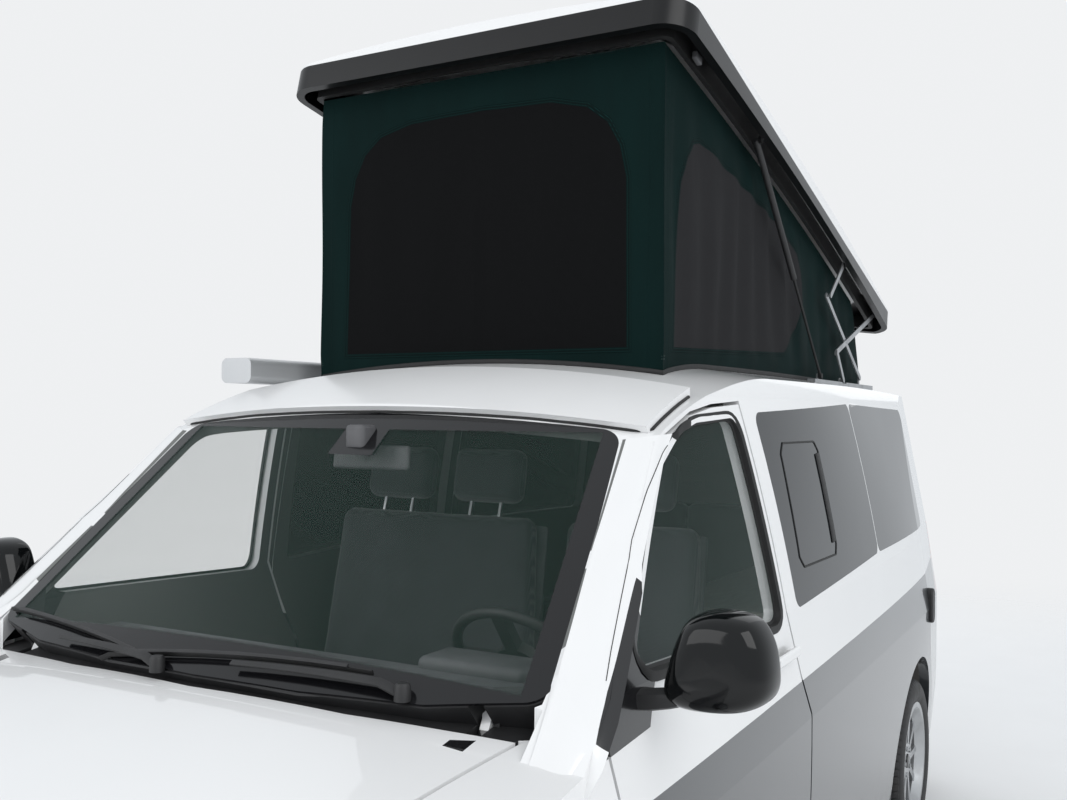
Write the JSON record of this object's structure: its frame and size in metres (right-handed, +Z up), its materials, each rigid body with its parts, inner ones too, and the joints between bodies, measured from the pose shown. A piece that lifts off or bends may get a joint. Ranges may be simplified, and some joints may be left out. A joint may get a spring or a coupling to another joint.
{
  "type": "camper van with elevating roof",
  "caption": "Compact camper van with a rear-hinged elevating roof raised on scissor bars and gas struts over a fabric tent, sliding side door, side awning and furnished cabin.",
  "frame": {"origin": "on the ground, middle of the length and of the width", "axes": "+X forward, +Y to the left of the van, +Z up"},
  "size_m": [4.888, 2.3288, 2.9215],
  "materials": {
    "body_paint": "gloss",
    "shell_white": "gloss",
    "black_plastic": "satin",
    "gloss_black": "gloss",
    "window_glass": "clear",
    "privacy_glass": "dark tint",
    "lamp_lens": "clear",
    "rear_lamp": "gloss",
    "tyre_rubber": "matte",
    "alloy": "satin",
    "bar_steel": "satin",
    "chassis_iron": "rough",
    "underbody": "matte",
    "tent_fabric": "woven",
    "seat_fabric": "woven",
    "furniture": "satin",
    "awning_case": "satin"
  },
  "bodies": {
    "van": {"awning": "awning_case", "body_side_left": "body_paint", "body_side_right": "body_paint", "bumper_inserts": "black_plastic", "canvas": "tent_fabric", "cowl": "black_plastic", "dashboard": "black_plastic", "engine_block": "chassis_iron", "exhaust": "bar_steel", "floor_pan": "underbody", "fog_lamps": "lamp_lens", "front_bumper": "body_paint", "front_cap": "shell_white", "front_seats": "seat_fabric", "front_suspension": "chassis_iron", "front_wings": "body_paint", "grille": "gloss_black", "headlamps": "lamp_lens", "inlet_cover": "black_plastic", "kitchen_unit": "furniture", "rear_axle": "chassis_iron", "rear_bench": "seat_fabric", "rear_bumper": "body_paint", "roof_panel": "body_paint", "roof_rails": "black_plastic", "side_glass": "privacy_glass", "sliding_door": "body_paint", "tail_lamps": "rear_lamp", "windscreen": "window_glass"},
    "door_left_body": {"door_left": "body_paint", "door_glass_left": "window_glass", "mirror_left": "gloss_black"},
    "door_right_body": {"door_right": "body_paint", "door_glass_right": "window_glass", "mirror_right": "gloss_black"},
    "bonnet_body": {"bonnet": "body_paint"},
    "tailgate_body": {"tailgate": "body_paint", "tailgate_glass": "privacy_glass"},
    "steer_left": {"knuckle_left": "chassis_iron"},
    "steer_right": {"knuckle_right": "chassis_iron"},
    "wheel_front_left": {"tyre_front_left": "tyre_rubber", "rim_front_left": "alloy"},
    "wheel_front_right": {"tyre_front_right": "tyre_rubber", "rim_front_right": "alloy"},
    "wheel_rear_left": {"tyre_rear_left": "tyre_rubber", "rim_rear_left": "alloy"},
    "wheel_rear_right": {"tyre_rear_right": "tyre_rubber", "rim_rear_right": "alloy"},
    "steering_body": {"steering_wheel": "black_plastic"},
    "bar_a_body": {"scissor_bar_a": "bar_steel"},
    "bar_b_body": {"scissor_bar_b": "bar_steel"},
    "poptop": {"poptop_shell": "shell_white", "poptop_liner": "black_plastic"},
    "link_a_body": {"scissor_link_a": "bar_steel"},
    "link_b_body": {"scissor_link_b": "bar_steel"},
    "strut_tube_body": {"strut_tubes": "black_plastic"},
    "strut_rod_body": {"strut_rods": "bar_steel"}
  },
  "joints": [
    {"name": "door_left_open", "type": "hinge", "parent": "van", "child": "door_left_body", "pos_m": [1.385, 0.925, 0.807], "axis": [0, 0, -1], "range_deg": [0, 65]},
    {"name": "door_right_open", "type": "hinge", "parent": "van", "child": "door_right_body", "pos_m": [1.385, -0.925, 0.807], "axis": [0, 0, 1], "range_deg": [0, 65]},
    {"name": "bonnet_open", "type": "hinge", "parent": "van", "child": "bonnet_body", "pos_m": [1.47, 0, 1.188], "axis": [0, -1, 0], "range_deg": [0, 55]},
    {"name": "tailgate_open", "type": "hinge", "parent": "van", "child": "tailgate_body", "pos_m": [-2.228, 0, 1.85], "axis": [0, 1, 0], "range_deg": [0, 85]},
    {"name": "steer_left_turn", "type": "hinge", "parent": "van", "child": "steer_left", "pos_m": [1.535, 0.735, 0.338], "axis": [0, 0, 1], "range_deg": [-35, 35]},
    {"name": "steer_right_turn", "type": "hinge", "parent": "van", "child": "steer_right", "pos_m": [1.535, -0.735, 0.338], "axis": [0, 0, 1], "range_deg": [-35, 35]},
    {"name": "wheel_front_left_spin", "type": "hinge", "parent": "steer_left", "child": "wheel_front_left", "pos_m": [1.535, 0.814, 0.338], "axis": [0, 1, 0], "continuous": true},
    {"name": "wheel_front_right_spin", "type": "hinge", "parent": "steer_right", "child": "wheel_front_right", "pos_m": [1.535, -0.814, 0.338], "axis": [0, 1, 0], "continuous": true},
    {"name": "wheel_rear_left_spin", "type": "hinge", "parent": "van", "child": "wheel_rear_left", "pos_m": [-1.465, 0.814, 0.338], "axis": [0, 1, 0], "continuous": true},
    {"name": "wheel_rear_right_spin", "type": "hinge", "parent": "van", "child": "wheel_rear_right", "pos_m": [-1.465, -0.814, 0.338], "axis": [0, 1, 0], "continuous": true},
    {"name": "steering_wheel_turn", "type": "hinge", "parent": "van", "child": "steering_body", "pos_m": [0.905, 0.4, 1.15], "axis": [-0.788, 0, 0.6157], "range_deg": [-525, 525]},
    {"name": "roof_fold", "type": "hinge", "parent": "van", "child": "bar_a_body", "pos_m": [-1.687, 0, 1.942], "axis": [0, 1, 0], "range_deg": [0, 27.78], "deforming": ["canvas"]},
    {"name": "bar_b_turn", "type": "hinge", "parent": "bar_a_body", "child": "bar_b_body", "pos_m": [-1.4102, 0, 2.086], "axis": [0, 1, 0], "range_deg": [-44.95, 0]},
    {"name": "poptop_turn", "type": "hinge", "parent": "bar_b_body", "child": "poptop", "pos_m": [-1.9528, 0, 2.2499], "axis": [0, 1, 0], "range_deg": [0, 30.59]},
    {"name": "link_a_turn", "type": "hinge", "parent": "poptop", "child": "link_a_body", "pos_m": [-1.3015, 0, 2.4014], "axis": [0, 1, 0], "range_deg": [-49.96, 0]},
    {"name": "link_b_turn", "type": "hinge", "parent": "van", "child": "link_b_body", "pos_m": [-1.3352, 0, 1.92], "axis": [0, 1, 0], "range_deg": [0, 37.01]},
    {"name": "strut_turn", "type": "hinge", "parent": "poptop", "child": "strut_tube_body", "pos_m": [-0.163, 0, 2.665], "axis": [0, 1, 0], "range_deg": [0, 28.59]},
    {"name": "strut_slide", "type": "slide", "parent": "strut_tube_body", "child": "strut_rod_body", "axis": [0.7437, 0, 0.6686], "range_m": [0, 0.22507]}
  ],
  "couplings": [
    {"joint": "steer_right_turn", "follows": "steer_left_turn", "ratio": 1},
    {"joint": "steering_wheel_turn", "follows": "steer_left_turn", "ratio": 15},
    {"joint": "bar_b_turn", "follows": "roof_fold", "ratio": -1.6173},
    {"joint": "poptop_turn", "follows": "roof_fold", "ratio": 1.1003},
    {"joint": "link_a_turn", "follows": "roof_fold", "ratio": -1.7977},
    {"joint": "link_b_turn", "follows": "roof_fold", "ratio": 1.3315},
    {"joint": "strut_turn", "follows": "roof_fold", "ratio": 1.0285},
    {"joint": "strut_slide", "follows": "roof_fold", "m_per_rad": 0.46378}
  ]
}
